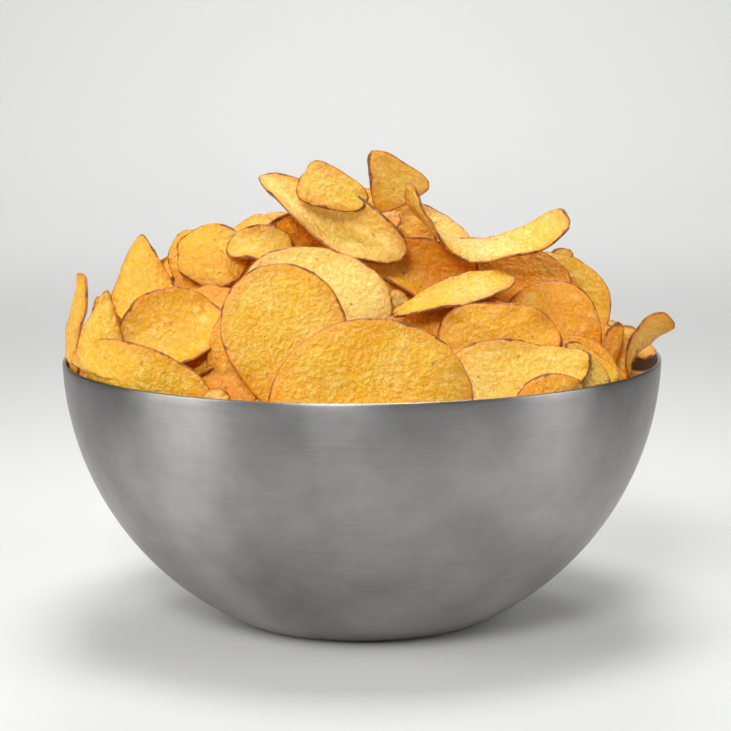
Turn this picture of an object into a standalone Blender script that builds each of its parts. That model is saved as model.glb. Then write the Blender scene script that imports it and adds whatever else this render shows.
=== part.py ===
"""A bowl of crisps: a plain turned steel bowl and the heap of crisps that fills it.

The origin is the centre of the bowl's flat base, +Z is up and -Y is the front.
Sizes are millimetres until they are scaled by MM.
"""
import math
from dataclasses import dataclass

import bmesh
import bpy
import numpy as np

MM = 0.001

# The bowl: a sphere cut off a little under its middle, with a flat base.
BOWL_RADIUS = 100.0
RIM_BELOW_MIDDLE = 3.0
BASE_RADIUS = 43.0
WALL = 1.2
SPHERE_HEIGHT = math.sqrt(BOWL_RADIUS ** 2 - BASE_RADIUS ** 2)
RIM_HEIGHT = SPHERE_HEIGHT - RIM_BELOW_MIDDLE
BOWL_STEPS = 56
ARC_STEPS = 11
LIP_STEPS = 3

# The crisps.
CRISP_THICKNESS = 1.8
WALL_GAP = 1.7
LARGE_CRISP = 38.0
SMALL_CRISP = 24.0
CELLS_LARGE = 6
CELLS_MEDIUM = 5
CELLS_SMALL = 4
CELLS_DEEP = 3
LINE_END = 1.35
LINE_POINTS = 541
RIPPLE_SHORTEST = 22.0
RIPPLE_LONGEST = 40.0
FLARE_FROM = 2.0
FLARE = 1.5

# The core under the crisps.
CORE_SEGMENTS = 24
CORE_RINGS = 16
CORE_GAP = 1.0
CORE_TOP = 48.0
CORE_TOP_BACK = 8.0
CORE_WIDENING = 0.64
CORE_SLOPE = 0.70
CORE_SHOULDER = -8.0
CORE_TIP_ROUNDING = 12.0
CORE_FOOT_ROUNDING = 4.0
CORE_EDGE = 90.0
CORE_RIGHT_DROP = 20.0
CORE_RIGHT_TURN = 0.25
CORE_RIGHT_WIDTH = 0.32
CORE_LUMP = 1.5
CORE_LUMP_SPACING = 12.0
CORE_LUMPS_FROM = 40.0

# The crisps at the back and the sides, set round the heap like shingles.
@dataclass
class Ring:
    """A ring of crisps that lean outward on the core, round the back of the heap."""

    radius: float
    lift: float
    tilt: float
    length: float
    width: float
    count: int
    first: float
    last: float
    seed: int


RINGS = [
    Ring(radius=80.0, lift=9.0, tilt=44.0, length=56.0, width=46.0, count=5, first=42.0, last=148.0, seed=71),
    Ring(radius=60.0, lift=8.0, tilt=46.0, length=54.0, width=44.0, count=5, first=30.0, last=160.0, seed=72),
    Ring(radius=36.0, lift=7.0, tilt=50.0, length=50.0, width=42.0, count=3, first=35.0, last=145.0, seed=73),
]


@dataclass
class Crisp:
    """One crisp: where it lies, how large it is, which way it faces and how it is bent.

    at is its middle in millimetres from the centre of the rim. face is the azimuth and tilt
    of the side that shows: azimuth 0 faces the front, 90 the right, and tilt 90 faces up.
    roll turns it in its own plane. The bends are degrees. deep marks those that the shown
    ones cover for the most part.
    """

    name: str
    at: tuple
    size: tuple
    face: tuple
    roll: float = 0.0
    curl: float = 0.0
    wave: float = 0.0
    fold: float = 0.0
    fold_at: float = 0.0
    fold_width: float = 0.15
    bend_dir: float = 0.0
    cup: float = 0.0
    twist: float = 0.0
    taper: float = 0.0
    square: float = 2.0
    wobble: float = 0.06
    ripple: float = 1.0
    seed: int = 1
    deep: bool = False


CRISPS = [
    Crisp("front_oval", (3, -79, -2), (62, 50), (0, 14), 0, curl=-16, wobble=0.03, seed=1),
    Crisp("front_egg", (-22, -67, 13), (53, 37), (-5, 12), -68, curl=-10, taper=0.22, wobble=0.03, seed=2),
    Crisp("behind_egg", (-33, -62, 5), (42, 30), (-15, 5), -72, curl=-20, seed=3),
    Crisp("rim_chip", (-45, -74, -2.5), (9, 7), (0, 25), 20, seed=4),
    Crisp("left_wave", (-72, -63, 0), (55, 28), (-30, 0), -10, curl=-50, seed=5),
    Crisp("left_curl", (-82.5, -53, 15), (30, 12), (-25, 5), 78, curl=-40, bend_dir=90, taper=0.55, seed=40),
    Crisp("left_curl_inside", (-81, -50, 17), (22, 13), (25, 10), 100, curl=30, bend_dir=90, taper=0.4,
          seed=41),
    Crisp("left_spike", (-94, -22, 11), (40, 26), (-76, 12), 92, curl=20, seed=6),
    Crisp("left_leaf", (-71, -30, 25), (40, 24), (-18, 22), 99, curl=-60, bend_dir=90, taper=0.65, seed=7),
    Crisp("left_dish", (-60, -50, 14), (36, 31), (5, 40), 32, curl=90, bend_dir=90, cup=30, seed=8),
    Crisp("left_knob", (-49, -14, 36), (24, 22), (-10, 30), -4, curl=-40, square=2.4, wobble=0.12, seed=9),
    Crisp("left_knob_fold", (-58, -9, 35), (18, 12), (-20, 20), 84, curl=-30, seed=36),
    Crisp("left_sliver", (-59, -4, 24), (30, 18), (-20, 30), 110, seed=10),
    Crisp("back_nub_a", (-39, 6, 36), (28, 18), (-15, 40), 70, seed=11),
    Crisp("back_nub_b", (-31, 10, 39), (24, 22), (-10, 48), 35, seed=12),
    Crisp("pale_curl", (-33, -15, 38), (22, 17), (-5, 45), -5, curl=90, bend_dir=90, seed=13),
    Crisp("shaded_left", (-16, -10, 37), (30, 20), (5, -8), -30, seed=14),
    Crisp("broad_pale", (-15, -46, 25), (50, 38), (5, 36), -8, curl=-24, wobble=0.03, seed=15),
    Crisp("long_leaf", (-10, -20, 49), (57, 22), (-5, 32), -31, curl=20, fold=60, fold_at=0.1,
          fold_width=0.25, bend_dir=90, taper=-0.6, seed=16),
    Crisp("folded_top", (-9, -26, 58), (23, 13), (-4, 16), -20, fold=-50, fold_at=-0.72,
          fold_width=0.1, taper=0.3, square=3.4, seed=17),
    Crisp("peak", (10, -9, 58), (18, 18), (16, 5), 62, curl=-20, taper=-0.65, square=3.0, seed=18),
    Crisp("long_curl", (38, -24, 38.5), (66, 18), (0, 76), -15, curl=136, wave=-50, twist=85, square=2.6,
          seed=19),
    Crisp("behind_curl", (21, 0, 41), (32, 25), (10, 50), -42, seed=20),
    Crisp("shaded_dish", (21, -22, 33), (34, 17), (0, 0), -8, curl=30, bend_dir=90, seed=21),
    Crisp("slanting", (29, -44.5, 26), (44, 15), (0, 60), 28, curl=20, bend_dir=90, taper=-0.4, seed=22),
    Crisp("under_slanting", (30, -42.5, 13.5), (38, 28), (5, -8), 20, seed=23),
    Crisp("right_wave", (43, -54, 12.7), (38, 24), (0, 8), -5, square=2.4, wobble=0.12, ripple=2.0, seed=24),
    Crisp("right_trough", (49, -67, 3), (46, 26), (5, 42), 14, curl=30, bend_dir=90, taper=0.4,
          square=2.4, seed=27),
    Crisp("round_back", (64, -10, 18), (39, 39), (10, 30), 0, curl=-20, wobble=0.03, seed=25),
    Crisp("round_front", (61, -38, 14), (33, 34), (10, 32), -20, curl=-20, wobble=0.03, seed=26),
    Crisp("right_pale", (66, -62, 1), (20, 18), (15, 20), 0, curl=-20, seed=28),
    Crisp("right_strip", (73, -56, 5), (22, 9), (20, 35), -45, seed=29),
    Crisp("right_low", (59, -76, -3), (25, 17), (15, 15), 0, curl=-10, seed=30),
    Crisp("right_spike", (79, -40, 6), (21, 10), (40, 0), 70, seed=31),
    Crisp("right_leaf", (86, -30, 5), (19, 13), (-10, 5), 75, taper=-0.6, seed=33),
    Crisp("right_twist", (90, -32, 6), (32, 13), (60, -25), 84, curl=95, twist=-90, taper=-0.25, seed=32),
    Crisp("middle_chip", (11, -40, 23), (8, 8), (0, 10), 0, seed=34),
    Crisp("back_chip", (67, 0, 34), (7, 4), (0, 10), 0, seed=35),
    Crisp("inner_1", (-51, -42, 10), (44, 40), (-10, 30), 20, seed=50, deep=True),
    Crisp("inner_2", (16, -26, 21), (46, 40), (5, 20), 10, seed=51, deep=True),
    Crisp("inner_3", (44, -20, 28.5), (50, 28), (5, 30), -10, seed=52, deep=True),
    Crisp("inner_4", (0, -4, 38), (50, 40), (0, 30), 10, seed=53, deep=True),
    Crisp("inner_5", (-70, -24, 4), (44, 38), (-25, 35), -30, seed=54, deep=True),
    Crisp("inner_6", (70, -30, 1), (38, 32), (20, 35), 30, seed=55, deep=True),
    Crisp("inner_7", (-37, -18, 25), (50, 40), (-10, 35), 10, seed=56, deep=True),
    Crisp("inner_8", (20, -51, 7), (46, 32), (5, 25), 10, seed=57, deep=True),
    Crisp("inner_9", (61, -62, 0), (44, 36), (15, 35), 30, seed=58, deep=True),
    Crisp("inner_10", (-50, -60, 0), (40, 36), (-15, 35), 30, seed=59, deep=True),
    Crisp("inner_11", (-7, -17, 48), (42, 18), (-5, 28), -30, seed=60, deep=True),
    Crisp("inner_12", (2, -13, 47.5), (20, 24), (0, 76), 0, seed=61, deep=True),
]


def ring_crisps():
    """The crisps of the rings, each turned and sized a little differently."""
    crisps = []
    for number, ring in enumerate(RINGS):
        draw = np.random.default_rng(ring.seed)
        for index in range(ring.count):
            share = index / max(ring.count - 1, 1)
            angle = ring.first + (ring.last - ring.first) * share + draw.uniform(-4, 4)
            turn = math.radians(angle)
            radius = ring.radius + draw.uniform(-3, 3)
            height = float(core_top(radius, turn)) + ring.lift + draw.uniform(-2, 2)
            at = (radius * math.cos(turn), radius * math.sin(turn), height)
            size = (ring.length * draw.uniform(0.85, 1.1), ring.width * draw.uniform(0.85, 1.1))
            face = (angle + 90 + draw.uniform(-14, 14), ring.tilt + draw.uniform(-10, 10))
            bends = {"curl": draw.uniform(-60, 20), "roll": draw.uniform(-60, 60)}
            bends["deep"] = True
            crisps.append(Crisp(f"ring_{number}_{index}", at, size, face, seed=200 + 20 * number + index, **bends))
    return crisps


def outline_factor(crisp, angle):
    """How far out the edge lies at an angle: a rounded square with a few seeded waves."""
    draw = np.random.default_rng(crisp.seed)
    across, up = np.abs(np.cos(angle)), np.abs(np.sin(angle))
    factor = (across ** crisp.square + up ** crisp.square) ** (-1 / crisp.square)
    for waves in (2, 3, 4, 5, 7):
        height = crisp.wobble * draw.uniform(-1, 1) / waves
        factor = factor * (1 + height * np.cos(waves * angle + draw.uniform(0, 2 * math.pi)))
    return factor


def bent_line(crisp, share, half):
    """The line that a crisp's middle follows: its place, height and slope at shares -1 to 1."""
    steps = np.linspace(-LINE_END, LINE_END, LINE_POINTS)
    step = steps[1] - steps[0]
    curl, wave, fold = (math.radians(value) for value in (crisp.curl, crisp.wave, crisp.fold))
    crease = np.exp(-((steps - crisp.fold_at) / crisp.fold_width) ** 2)
    bend = curl / 2 + wave * steps + fold / (crisp.fold_width * math.sqrt(math.pi)) * crease
    slope = np.cumsum(bend) * step
    slope = slope - np.interp(0, steps, slope)
    place = np.cumsum(np.cos(slope)) * step * half
    height = np.cumsum(np.sin(slope)) * step * half
    place = place - np.interp(0, steps, place)
    height = height - np.interp(0, steps, height)
    return np.interp(share, steps, place), np.interp(share, steps, height), np.interp(share, steps, slope)


def ripples(crisp, along, across, rim_share):
    """Gentle waves over a crisp, higher near its edge."""
    draw = np.random.default_rng(crisp.seed + 100)
    total = 0
    for _ in range(3):
        turn = draw.uniform(0, 2 * math.pi)
        length = draw.uniform(RIPPLE_SHORTEST, RIPPLE_LONGEST)
        start = draw.uniform(0, 2 * math.pi)
        line = along * math.cos(turn) + across * math.sin(turn)
        total = total + np.sin(line * 2 * math.pi / length + start) / 3
    return crisp.ripple * total * (0.4 + 1.1 * rim_share ** 2)


def kept_in_bowl(points, gap):
    """Draw in what would cross the bowl's wall, so that it lies against the wall."""
    limit = BOWL_RADIUS - WALL - gap
    height = points[:, 2]
    allowed = np.sqrt(np.maximum(limit ** 2 - (np.minimum(height, 0) - RIM_BELOW_MIDDLE) ** 2, 1.0))
    allowed = allowed + FLARE * np.maximum(height - FLARE_FROM, 0)
    radius = np.hypot(points[:, 0], points[:, 1])
    factor = np.where(radius > allowed, allowed / np.maximum(radius, 1e-6), 1.0)
    points[:, 0] *= factor
    points[:, 1] *= factor
    return points


def crisp_points(crisp, disc):
    """Points of a crisp's middle sheet in millimetres from the centre of the rim.

    disc holds the same points on a flat disc of radius 1.
    """
    rim_share = np.hypot(disc[:, 0], disc[:, 1])
    angle = np.arctan2(disc[:, 1], disc[:, 0])
    radius = rim_share * outline_factor(crisp, angle)
    length, width = crisp.size
    along = radius * np.cos(angle) * length / 2
    across = radius * np.sin(angle) * width / 2
    across = across * (1 - crisp.taper * along / (length / 2))
    turn = math.radians(crisp.bend_dir)
    cosine, sine = math.cos(turn), math.sin(turn)
    half = math.hypot(length / 2 * cosine, width / 2 * sine)
    half_across = math.hypot(length / 2 * sine, width / 2 * cosine)
    bend_along = along * cosine + across * sine
    bend_across = across * cosine - along * sine
    share = bend_along / half
    place, height, slope = bent_line(crisp, share, half)
    lift = 0 * bend_across
    if abs(crisp.cup) > 1e-6:
        bend_radius = 2 * half_across / math.radians(crisp.cup)
        lift = bend_radius * (1 - np.cos(bend_across / bend_radius))
        bend_across = bend_radius * np.sin(bend_across / bend_radius)
    twist = math.radians(crisp.twist) * share / 2
    side = bend_across * np.cos(twist) - lift * np.sin(twist)
    lift = bend_across * np.sin(twist) + lift * np.cos(twist) + ripples(crisp, along, across, rim_share)
    place = place - np.sin(slope) * lift
    height = height + np.cos(slope) * lift
    azimuth, tilt, roll = (math.radians(value) for value in (*crisp.face, crisp.roll))
    normal = np.array([math.sin(azimuth) * math.cos(tilt), -math.cos(azimuth) * math.cos(tilt), math.sin(tilt)])
    right = np.array([math.cos(azimuth), math.sin(azimuth), 0.0])
    up = np.cross(normal, right)
    long_way = right * math.cos(roll) + up * math.sin(roll)
    wide_way = np.cross(normal, long_way)
    out_along = place * cosine - side * sine
    out_across = place * sine + side * cosine
    points = np.outer(out_along, long_way) + np.outer(out_across, wide_way) + np.outer(height, normal)
    return kept_in_bowl(points + np.asarray(crisp.at, float), WALL_GAP)


def link(name, mesh_builder, material, collection):
    """Make a mesh object from a bmesh, with its material, in a collection."""
    mesh = bpy.data.meshes.new(name)
    mesh_builder.to_mesh(mesh)
    mesh_builder.free()
    obj = bpy.data.objects.new(name, mesh)
    mesh.materials.append(material)
    collection.objects.link(obj)
    return obj


def make_crisp(crisp, material, collection):
    """One crisp: a small grid drawn out to the crisp's sheet, then given its thickness."""
    longest = max(crisp.size)
    cells = CELLS_LARGE if longest > LARGE_CRISP else CELLS_MEDIUM if longest > SMALL_CRISP else CELLS_SMALL
    cells = CELLS_DEEP if crisp.deep else cells
    builder = bmesh.new()
    bmesh.ops.create_grid(builder, x_segments=cells, y_segments=cells, size=1.0)
    flat = np.array([vert.co[:2] for vert in builder.verts])
    disc = flat * np.sqrt(1 - flat[:, ::-1] ** 2 / 2)
    points = crisp_points(crisp, disc) + np.array([0, 0, RIM_HEIGHT])
    for vert, point in zip(builder.verts, points):
        vert.co = point * MM
    obj = link(crisp.name, builder, material, collection)
    shell = obj.modifiers.new("thickness", "SOLIDIFY")
    shell.thickness = CRISP_THICKNESS * MM
    shell.offset = 0.0
    shell.use_even_offset = False
    return obj


def core_top(radius, angle):
    """Height of the core's top over the rim: a cone with a rounded foot, lower at the right."""
    sideways = CORE_WIDENING * radius * np.cos(angle)
    backward = radius * np.sin(angle) - CORE_TOP_BACK
    away = np.hypot(np.hypot(sideways, backward), CORE_TIP_ROUNDING)
    slope = CORE_TOP - CORE_SHOULDER - CORE_SLOPE * away
    cone = np.logaddexp(0, slope / CORE_FOOT_ROUNDING) * CORE_FOOT_ROUNDING
    right = np.exp(-((angle - CORE_RIGHT_TURN) / CORE_RIGHT_WIDTH) ** 2)
    drop = CORE_RIGHT_DROP * right * np.clip(radius / CORE_EDGE, 0, 1) ** 2
    lumps = CORE_LUMP * np.sin(3 * angle + 1.0) * np.sin(radius / CORE_LUMP_SPACING)
    return CORE_SHOULDER + cone - drop + lumps * np.clip(radius / CORE_LUMPS_FROM, 0, 1)


def make_core(material, collection):
    """The core: its top a lumpy cone, its underside lying close to the bowl's inside."""
    builder = bmesh.new()
    bmesh.ops.create_uvsphere(builder, u_segments=CORE_SEGMENTS, v_segments=CORE_RINGS, radius=1.0)
    unit = np.array([vert.co[:] for vert in builder.verts])
    share = np.hypot(unit[:, 0], unit[:, 1])
    angle = np.arctan2(unit[:, 1], unit[:, 0])
    limit = BOWL_RADIUS - WALL - CORE_GAP
    edge_height = core_top(CORE_EDGE, angle)
    edge_radius = np.sqrt(limit ** 2 - (edge_height - RIM_BELOW_MIDDLE) ** 2)
    top = unit[:, 2] > -1e-6
    top_radius = share * edge_radius
    top_height = np.where(share > 0.999, edge_height, core_top(np.minimum(top_radius, CORE_EDGE), angle))
    edge_bend = np.arccos((RIM_BELOW_MIDDLE - edge_height) / limit)
    polar = np.arccos(np.clip(-unit[:, 2], -1, 1)) / (math.pi / 2)
    bend = edge_bend * np.clip(polar, 0, 1)
    under_radius = limit * np.sin(bend)
    under_height = np.maximum(RIM_BELOW_MIDDLE - limit * np.cos(bend), WALL + CORE_GAP - RIM_HEIGHT)
    radius = np.where(top, top_radius, under_radius)
    height = np.where(top, top_height, under_height) + RIM_HEIGHT
    points = np.stack([radius * np.cos(angle), radius * np.sin(angle), height], axis=1) * MM
    for vert, point in zip(builder.verts, points):
        vert.co = point
    bmesh.ops.recalc_face_normals(builder, faces=builder.faces[:])
    return link("crisps", builder, material, collection)


def largest_shell_only(obj):
    """Drop loose scrap: keep the shell with the most faces and remove the others."""
    builder = bmesh.new()
    builder.from_mesh(obj.data)
    left = set(builder.faces)
    shells = []
    while left:
        start = left.pop()
        shell, waiting = {start}, [start]
        while waiting:
            for edge in waiting.pop().edges:
                for near in edge.link_faces:
                    if near in left:
                        left.discard(near)
                        shell.add(near)
                        waiting.append(near)
        shells.append(shell)
    shells.sort(key=len, reverse=True)
    for shell in shells[1:]:
        corners = {vert for face in shell for vert in face.verts}
        bmesh.ops.delete(builder, geom=list(corners), context="VERTS")
    on_an_edge = [vert for vert in builder.verts if len(vert.link_edges) == 2]
    bmesh.ops.dissolve_verts(builder, verts=on_an_edge)
    bmesh.ops.triangulate(builder, faces=builder.faces[:])
    builder.to_mesh(obj.data)
    builder.free()


def make_bowl(material, collection):
    """The bowl: its section from the inside, over the rounded lip, down the outside, spun round."""
    inside = BOWL_RADIUS - WALL
    middle = SPHERE_HEIGHT
    low = math.asin((middle - WALL) / inside)
    start = math.asin(RIM_BELOW_MIDDLE / inside)
    section = [(0.0, WALL)]
    for index in range(ARC_STEPS + 1):
        bend = low + (start - low) * index / ARC_STEPS
        section.append((inside * math.cos(bend), middle - inside * math.sin(bend)))
    lip_radius = WALL / 2
    lip_middle = (section[-1][0] + lip_radius, section[-1][1])
    for index in range(1, LIP_STEPS):
        bend = math.pi * (1 - index / LIP_STEPS)
        section.append((lip_middle[0] + lip_radius * math.cos(bend), lip_middle[1] + lip_radius * math.sin(bend)))
    low_outside = math.asin(middle / BOWL_RADIUS)
    start_outside = math.asin(RIM_BELOW_MIDDLE / BOWL_RADIUS)
    for index in range(ARC_STEPS + 1):
        bend = start_outside + (low_outside - start_outside) * index / ARC_STEPS
        section.append((BOWL_RADIUS * math.cos(bend), middle - BOWL_RADIUS * math.sin(bend)))
    section.append((0.0, 0.0))
    builder = bmesh.new()
    verts = [builder.verts.new((radius * MM, 0.0, height * MM)) for radius, height in section]
    for first, second in zip(verts, verts[1:]):
        builder.edges.new((first, second))
    obj = link("bowl", builder, material, collection)
    spin = obj.modifiers.new("turned", "SCREW")
    spin.axis = "Z"
    spin.angle = 2 * math.pi
    spin.steps = BOWL_STEPS
    spin.render_steps = BOWL_STEPS
    spin.use_merge_vertices = True
    spin.merge_threshold = 0.00001
    spin.use_normal_calculate = True
    return obj


def make_material(name, colour, roughness, metallic):
    """A Principled material with a colour, a roughness and a metallic value."""
    material = bpy.data.materials.new(name)
    material.use_nodes = True
    shader = material.node_tree.nodes["Principled BSDF"]
    shader.inputs["Base Color"].default_value = (*colour, 1.0)
    shader.inputs["Roughness"].default_value = roughness
    shader.inputs["Metallic"].default_value = metallic
    return material


def set_smooth(obj, degrees):
    """Smooth shading with edges over an angle kept sharp."""
    for polygon in obj.data.polygons:
        polygon.use_smooth = True
    obj.data.set_sharp_from_angle(angle=math.radians(degrees))


def main():
    """Build the bowl and the heap, fuse the heap into one solid and drop what it was made from."""
    for obj in list(bpy.data.objects):
        bpy.data.objects.remove(obj)
    scene = bpy.context.scene
    scene.unit_settings.system = "METRIC"
    parts = bpy.data.collections.new("bowl_of_crisps")
    pieces = bpy.data.collections.new("crisp_pieces")
    scene.collection.children.link(parts)
    scene.collection.children.link(pieces)
    steel = make_material("steel", (0.55, 0.55, 0.56), 0.32, 1.0)
    fried_potato = make_material("fried_potato", (0.80, 0.45, 0.09), 0.55, 0.0)

    bowl = make_bowl(steel, parts)
    heap = make_core(fried_potato, parts)
    for crisp in CRISPS + ring_crisps():
        make_crisp(crisp, fried_potato, pieces)
    fuse = heap.modifiers.new("fused_crisps", "BOOLEAN")
    fuse.operation = "UNION"
    fuse.operand_type = "COLLECTION"
    fuse.collection = pieces
    fuse.solver = "MANIFOLD"
    bpy.context.view_layer.update()
    depsgraph = bpy.context.evaluated_depsgraph_get()
    fused = bpy.data.meshes.new_from_object(heap.evaluated_get(depsgraph))
    heap.modifiers.clear()
    heap.data = fused
    for obj in list(pieces.objects):
        bpy.data.objects.remove(obj)
    bpy.data.collections.remove(pieces)
    largest_shell_only(heap)
    set_smooth(heap, 40)
    set_smooth(bowl, 40)


main()
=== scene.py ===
"""The looks of a bowl of crisps: a spun steel bowl and the fried potato crisps heaped in it.

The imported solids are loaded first. The bowl's solid is replaced by a finer turned shell, and the
heap's solid by the crisps themselves over a core. Sizes in the classes are millimetres and degrees;
meshes are in metres, in the solids' own frame: origin at the middle of the bowl's base, +Z up, and
the front towards -Y.
"""

import enum
import logging
import math
from dataclasses import dataclass, field

import bpy
import numpy as np
from mathutils import Matrix, Vector


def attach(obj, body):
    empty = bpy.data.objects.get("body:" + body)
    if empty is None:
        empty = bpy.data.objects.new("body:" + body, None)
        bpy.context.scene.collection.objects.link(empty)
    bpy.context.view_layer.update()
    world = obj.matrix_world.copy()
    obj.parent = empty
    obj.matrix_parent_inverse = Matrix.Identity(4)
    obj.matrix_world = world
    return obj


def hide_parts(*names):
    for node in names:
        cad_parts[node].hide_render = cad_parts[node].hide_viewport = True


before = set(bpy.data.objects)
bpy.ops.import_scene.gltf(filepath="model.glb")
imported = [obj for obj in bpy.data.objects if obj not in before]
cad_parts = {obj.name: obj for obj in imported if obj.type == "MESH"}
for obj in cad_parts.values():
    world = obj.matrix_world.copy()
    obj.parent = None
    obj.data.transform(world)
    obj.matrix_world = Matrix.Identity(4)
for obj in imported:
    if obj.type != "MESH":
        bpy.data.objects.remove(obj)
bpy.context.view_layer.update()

MM = 0.001
IMAGE_SIDE = 731
SENSOR_MM = 36.0

logging.basicConfig(level=logging.INFO, format="%(message)s")
log = logging.getLogger("bowl_of_crisps")


def linear(hex_colour: str) -> tuple[float, float, float, float]:
    """Turn an sRGB hex colour such as "#F0B43C" into linear red, green, blue and alpha.

    Args:
        hex_colour: the colour as six hex digits after a hash sign.

    Returns:
        The linear colour with an alpha of 1.
    """
    parts = [int(hex_colour[at:at + 2], 16) / 255 for at in (1, 3, 5)]
    red, green, blue = (p / 12.92 if p <= 0.04045 else ((p + 0.055) / 1.055) ** 2.4 for p in parts)
    return red, green, blue, 1.0


def add_node(tree: bpy.types.NodeTree, kind: str, links: dict | None = None,
             sockets: dict | None = None, **settings: object) -> bpy.types.Node:
    """Add a node with its settings, socket values and incoming links.

    Args:
        tree: the node tree that gets the node.
        kind: the node's Blender type.
        links: for an input's name or number, the output socket that feeds it.
        sockets: for an input's name or number, its value; a hex colour is made linear.
        settings: the node's own properties.

    Returns:
        The new node.
    """
    node = tree.nodes.new(kind)
    for name, value in settings.items():
        setattr(node, name, value)
    for key, value in (sockets or {}).items():
        node.inputs[key].default_value = linear(value) if isinstance(value, str) else value
    for key, output in (links or {}).items():
        tree.links.new(output, node.inputs[key])
    return node


def smoothstep(low: float, high: float, values: np.ndarray) -> np.ndarray:
    """A soft step: 0 below low, 1 above high, with a cubic between them."""
    share = np.clip((values - low) / (high - low), 0, 1)
    return share * share * (3 - 2 * share)


def mesh_object(name: str, points: np.ndarray, quads: np.ndarray,
                attributes: dict[str, np.ndarray] | None = None) -> bpy.types.Object:
    """Put arrays into a smooth-shaded mesh object at the origin.

    Args:
        name: the object's name.
        points: vertices in millimetres, one row each.
        quads: four vertex numbers in each row; a triangle repeats its last one.
        attributes: float values for each vertex, by name.

    Returns:
        The object, linked to the scene.
    """
    mesh = bpy.data.meshes.new(name)
    triangle = quads[:, 2] == quads[:, 3]
    totals = np.where(triangle, 3, 4).astype(np.int32)
    keep = np.ones(quads.shape, bool)
    keep[triangle, 3] = False
    corners = quads[keep].astype(np.int32)
    mesh.vertices.add(len(points))
    mesh.vertices.foreach_set("co", (points * MM).astype(np.float32).ravel())
    mesh.loops.add(len(corners))
    mesh.loops.foreach_set("vertex_index", corners)
    mesh.polygons.add(len(quads))
    starts = np.concatenate([[0], np.cumsum(totals)[:-1]]).astype(np.int32)
    mesh.polygons.foreach_set("loop_start", starts)
    mesh.polygons.foreach_set("loop_total", totals)
    mesh.update(calc_edges=True)
    mesh.polygons.foreach_set("use_smooth", np.ones(len(quads), bool))
    for key, values in (attributes or {}).items():
        layer = mesh.attributes.new(key, "FLOAT", "POINT")
        layer.data.foreach_set("value", values.astype(np.float32))
    mesh.validate()
    obj = bpy.data.objects.new(name, mesh)
    bpy.context.scene.collection.objects.link(obj)
    return obj


def turned_quads(rows: int, columns: int) -> np.ndarray:
    """Faces of a turned shape: each ring of points joined to the next, and a fan at each end.

    Args:
        rows: number of rings.
        columns: points in each ring; the two poles are numbered after the last ring.

    Returns:
        Four point numbers in each row; a fan's triangle repeats its last one.
    """
    numbers = np.arange(rows * columns).reshape(rows, columns)
    following = np.roll(numbers, -1, axis=1)
    quads = np.stack([numbers[:-1], numbers[1:], following[1:], following[:-1]], axis=-1)
    ends = ((numbers[0], following[0]), (following[-1], numbers[-1]))
    fans = [np.stack([np.full(columns, rows * columns + end), first, second, second], axis=-1)
            for end, (first, second) in enumerate(ends)]
    return np.concatenate([quads.reshape(-1, 4), *fans])


@dataclass(frozen=True)
class BowlMeasures:
    """The bowl's driving sizes, shared by the bowl and by what lies in it."""

    radius: float = 100.0
    rim_below_middle: float = 3.0
    base_radius: float = 43.0
    wall: float = 1.2

    @property
    def sphere_height(self) -> float:
        """Height of the sphere's middle over the base."""
        return math.sqrt(self.radius ** 2 - self.base_radius ** 2)

    @property
    def rim_height(self) -> float:
        """Height of the rim over the base."""
        return self.sphere_height - self.rim_below_middle


BOWL = BowlMeasures()


class Kind(enum.Enum):
    """The kinds of crisp, each of which becomes one piece."""

    BROAD = "broad_crisps"
    CURLED = "curled_crisps"
    SMALL = "small_crisps"
    INNER = "inner_crisps"
    BACK = "back_crisps"
    LYING = "lying_crisps"


# Cells along each side of a crisp's grid: more for the crisps that are seen closer.
GRID_CELLS = {Kind.BROAD: 68, Kind.CURLED: 60, Kind.SMALL: 40, Kind.INNER: 44, Kind.BACK: 44,
              Kind.LYING: 26}
# A crisp smaller than this has two thirds of them.
SMALL_SIZE = 26
# Waves round the outline: those of the slice's shape, and the small nicks of its edge.
OUTLINE_WAVES = (2, 3, 4, 5, 7)
NICK_WAVES = (11, 17, 26, 41)
NICK_DEPTH = 0.05
# The bent line is worked out a little past both ends of the crisp, at this many places.
LINE_END = 1.35
LINE_PLACES = 541
# The gentle waves across a slice, and the frills that run round its edge.
RIPPLE_COUNT = 3
RIPPLE_LENGTHS = (22, 40)
FRILL_WAVES = (5, 8, 13)
FRILL_HEIGHT = 2.2
# The edge: its thickness as a share of the whole, how far in it is full, and how far it bulges.
EDGE_THICKNESS = 0.62
EDGE_WIDTH = 1.2
EDGE_BULGE = 0.35
# Blisters begin at the first distance from the edge and are full at the second.
BLISTER_INSET = (0.5, 3.5)


@dataclass(frozen=True)
class BlisterSize:
    """A size of blister; a pair is the value on a smooth slice and what full blistering adds.

    Attributes:
        spacing: side of the grid's squares, in millimetres.
        reach: radius of the largest blister, as a share of the spacing.
        share: share of the squares that hold one.
        height: height in millimetres.
    """

    spacing: float
    reach: float
    share: tuple[float, float]
    height: tuple[float, float]


BLISTER_SIZES = (BlisterSize(7.0, 0.46, (0.30, 0.35), (0.22, 0.50)),
                 BlisterSize(2.9, 0.48, (0.35, 0.50), (0.08, 0.26)))


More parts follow.
